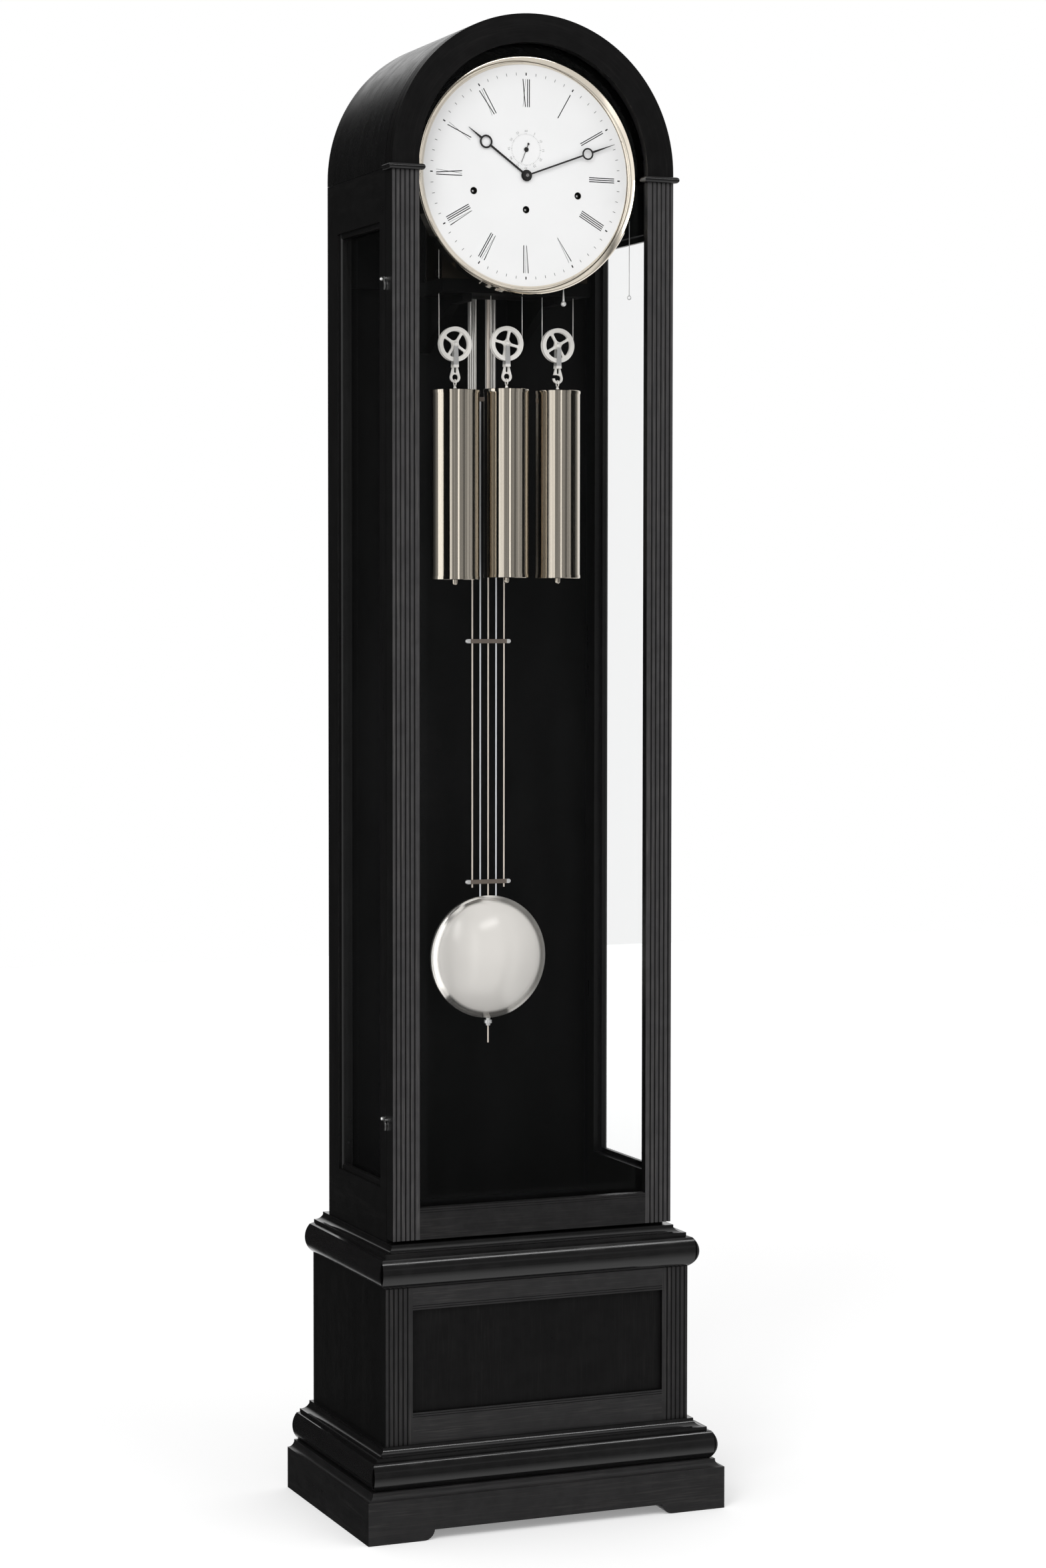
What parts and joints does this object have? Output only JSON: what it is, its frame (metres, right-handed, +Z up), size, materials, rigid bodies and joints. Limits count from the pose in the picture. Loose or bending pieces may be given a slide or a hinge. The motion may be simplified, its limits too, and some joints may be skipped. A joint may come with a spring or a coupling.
{
  "type": "longcase clock",
  "caption": "Tall black longcase clock with arched glazed door, round dial, cable-hung weights and a rod pendulum",
  "frame": {"origin": "on the floor under the middle of the plinth", "axes": "+Z up, -Y out of the dial's face towards the viewer, +X to the viewer's right"},
  "size_m": [0.5124, 0.3286, 2.0001],
  "materials": {
    "black_lacquer": "satin black lacquer over fine-grained wood",
    "black_inside": "flat black lining",
    "clear_glass": "clear glass with ground bevel",
    "nickel": "bright nickel plate",
    "pulley_nickel": "satin nickel plate",
    "rod_steel": "polished steel",
    "dial_white": "matt white enamel with printed black figures",
    "hand_black": "satin black",
    "movement_brass": "lacquered brass",
    "cable_steel": "twisted steel cable",
    "dark_rod": "darkened steel",
    "black_iron": "black paint"
  },
  "bodies": {
    "case": {"plinth_front": "black_lacquer", "plinth_returns": "black_lacquer", "base_moulding": "black_lacquer", "base_frame": "black_lacquer", "base_panel": "black_lacquer", "base_sides": "black_lacquer", "base_back": "black_inside", "waist_moulding": "black_lacquer", "trunk_floor": "black_inside", "side_frame_left": "black_lacquer", "side_frame_right": "black_lacquer", "window_beads": "black_lacquer", "side_glasses": "clear_glass", "back_boards": "black_inside", "roof_shell": "black_lacquer", "case_hinge_leaves": "nickel", "hook_pivots": "nickel", "seat_brackets": "black_inside", "seat_board": "black_inside", "movement_plates": "movement_brass", "movement_pillars": "movement_brass", "suspension_cock": "movement_brass", "dial": "dial_white", "bezel": "nickel", "chime_block": "black_iron", "chime_rods": "dark_rod", "cable_left": "cable_steel", "cable_middle": "cable_steel", "cable_right": "cable_steel"},
    "door": {"door_stiles": "black_lacquer", "door_rail": "black_lacquer", "door_arch": "black_lacquer", "door_glass": "clear_glass", "door_caps": "black_lacquer", "door_hinge_leaves": "nickel", "hook_keepers": "nickel"},
    "hook_upper": {"hook_upper": "nickel"},
    "hook_lower": {"hook_lower": "nickel"},
    "hour_hand": {"hour_hand": "hand_black"},
    "minute_hand": {"minute_hand": "hand_black"},
    "seconds_hand": {"seconds_hand": "hand_black"},
    "pendulum": {"suspension_spring": "rod_steel", "pendulum_rods": "rod_steel", "pendulum_crossbars": "nickel", "pendulum_bob": "nickel"},
    "rating_nut": {"rating_nut": "nickel"},
    "crutch": {"crutch": "rod_steel"},
    "hammers_left": {"hammers_left": "movement_brass"},
    "hammers_right": {"hammers_right": "movement_brass"},
    "pull_ball": {"pull_ball": "nickel"},
    "pull_loop": {"pull_loop": "rod_steel"},
    "drum_left": {"drum_left": "movement_brass"},
    "pulley_left": {"pulley_left": "pulley_nickel"},
    "weight_left": {"weight_left": "nickel"},
    "drum_middle": {"drum_middle": "movement_brass"},
    "pulley_middle": {"pulley_middle": "pulley_nickel"},
    "weight_middle": {"weight_middle": "nickel"},
    "drum_right": {"drum_right": "movement_brass"},
    "pulley_right": {"pulley_right": "pulley_nickel"},
    "weight_right": {"weight_right": "nickel"}
  },
  "joints": [
    {"name": "door_hinge", "type": "hinge", "parent": "case", "child": "door", "pos_m": [0.20405, -0.08255, 0], "axis": [0, 0, 1], "range_deg": [0, 110]},
    {"name": "hook_upper_pivot", "type": "hinge", "parent": "case", "child": "hook_upper", "pos_m": [-0.2027, -0.07205, 1.648], "axis": [1, 0, 0], "range_deg": [0, 306]},
    {"name": "hook_lower_pivot", "type": "hinge", "parent": "case", "child": "hook_lower", "pos_m": [-0.2027, -0.07205, 0.5437], "axis": [1, 0, 0], "range_deg": [0, 306]},
    {"name": "minute_turn", "type": "hinge", "parent": "case", "child": "minute_hand", "pos_m": [0, -0.076, 1.7916], "axis": [0, 1, 0], "continuous": true},
    {"name": "hour_turn", "type": "hinge", "parent": "case", "child": "hour_hand", "pos_m": [0, -0.076, 1.7916], "axis": [0, 1, 0], "continuous": true},
    {"name": "seconds_turn", "type": "hinge", "parent": "case", "child": "seconds_hand", "pos_m": [0, -0.076, 1.826], "axis": [0, 1, 0], "continuous": true},
    {"name": "pendulum_swing", "type": "hinge", "parent": "case", "child": "pendulum", "pos_m": [0, 0.05775, 1.75], "axis": [0, 1, 0], "range_deg": [-2.5, 2.5]},
    {"name": "crutch_swing", "type": "hinge", "parent": "case", "child": "crutch", "pos_m": [0, 0, 1.848], "axis": [0, 1, 0], "range_deg": [-1, 1]},
    {"name": "rating_nut_turn", "type": "hinge", "parent": "pendulum", "child": "rating_nut", "pos_m": [0, 0.05775, 0.6512], "axis": [0, 0, 1], "range_deg": [-720, 720]},
    {"name": "left_hammers", "type": "hinge", "parent": "case", "child": "hammers_left", "pos_m": [-0.02, 0.085, 1.702], "axis": [0, 1, 0], "range_deg": [0, 20]},
    {"name": "right_hammers", "type": "hinge", "parent": "case", "child": "hammers_right", "pos_m": [0.02, 0.084, 1.702], "axis": [0, -1, 0], "range_deg": [0, 20]},
    {"name": "ball_pull", "type": "slide", "parent": "case", "child": "pull_ball", "axis": [0, 0, -1], "range_m": [0, 0.008], "stiffness_N_per_m": 100, "springref_m": -0.005},
    {"name": "loop_pull", "type": "slide", "parent": "case", "child": "pull_loop", "axis": [0, 0, -1], "range_m": [0, 0.008], "stiffness_N_per_m": 100, "springref_m": -0.005},
    {"name": "weight_left_fall", "type": "slide", "parent": "case", "child": "weight_left", "axis": [0, 0, -1], "range_m": [-0.02, 0.84], "deforming": ["cable_left"]},
    {"name": "pulley_left_turn", "type": "hinge", "parent": "weight_left", "child": "pulley_left", "pos_m": [-0.0748, -0.00805, 1.5715], "axis": [0, 1, 0], "range_deg": [-2121, 55]},
    {"name": "drum_left_turn", "type": "hinge", "parent": "case", "child": "drum_left", "pos_m": [-0.0748, -0.00805, 1.7684], "axis": [0, 1, 0], "range_deg": [-4236, 106]},
    {"name": "weight_middle_fall", "type": "slide", "parent": "case", "child": "weight_middle", "axis": [0, 0, -1], "range_m": [-0.02, 0.84], "deforming": ["cable_middle"]},
    {"name": "pulley_middle_turn", "type": "hinge", "parent": "weight_middle", "child": "pulley_middle", "pos_m": [0, -0.00805, 1.5745], "axis": [0, 1, 0], "range_deg": [-55, 2121]},
    {"name": "drum_middle_turn", "type": "hinge", "parent": "case", "child": "drum_middle", "pos_m": [0, -0.00805, 1.7467], "axis": [0, 1, 0], "range_deg": [-106, 4236]},
    {"name": "weight_right_fall", "type": "slide", "parent": "case", "child": "weight_right", "axis": [0, 0, -1], "range_m": [-0.02, 0.84], "deforming": ["cable_right"]},
    {"name": "pulley_right_turn", "type": "hinge", "parent": "weight_right", "child": "pulley_right", "pos_m": [0.0748, -0.00805, 1.574], "axis": [0, 1, 0], "range_deg": [-55, 2121]},
    {"name": "drum_right_turn", "type": "hinge", "parent": "case", "child": "drum_right", "pos_m": [0.0748, -0.00805, 1.7684], "axis": [0, 1, 0], "range_deg": [-106, 4236]}
  ],
  "couplings": [
    {"joint": "hour_turn", "follows": "minute_turn", "ratio": 0.083333},
    {"joint": "seconds_turn", "follows": "minute_turn", "ratio": 60},
    {"joint": "crutch_swing", "follows": "pendulum_swing", "ratio": 0.31468},
    {"joint": "pulley_left_turn", "follows": "weight_left_fall", "rad_per_m": -43.956},
    {"joint": "drum_left_turn", "follows": "weight_left_fall", "rad_per_m": -87.912},
    {"joint": "pulley_middle_turn", "follows": "weight_middle_fall", "rad_per_m": 43.956},
    {"joint": "drum_middle_turn", "follows": "weight_middle_fall", "rad_per_m": 87.912},
    {"joint": "pulley_right_turn", "follows": "weight_right_fall", "rad_per_m": 43.956},
    {"joint": "drum_right_turn", "follows": "weight_right_fall", "rad_per_m": 87.912}
  ]
}
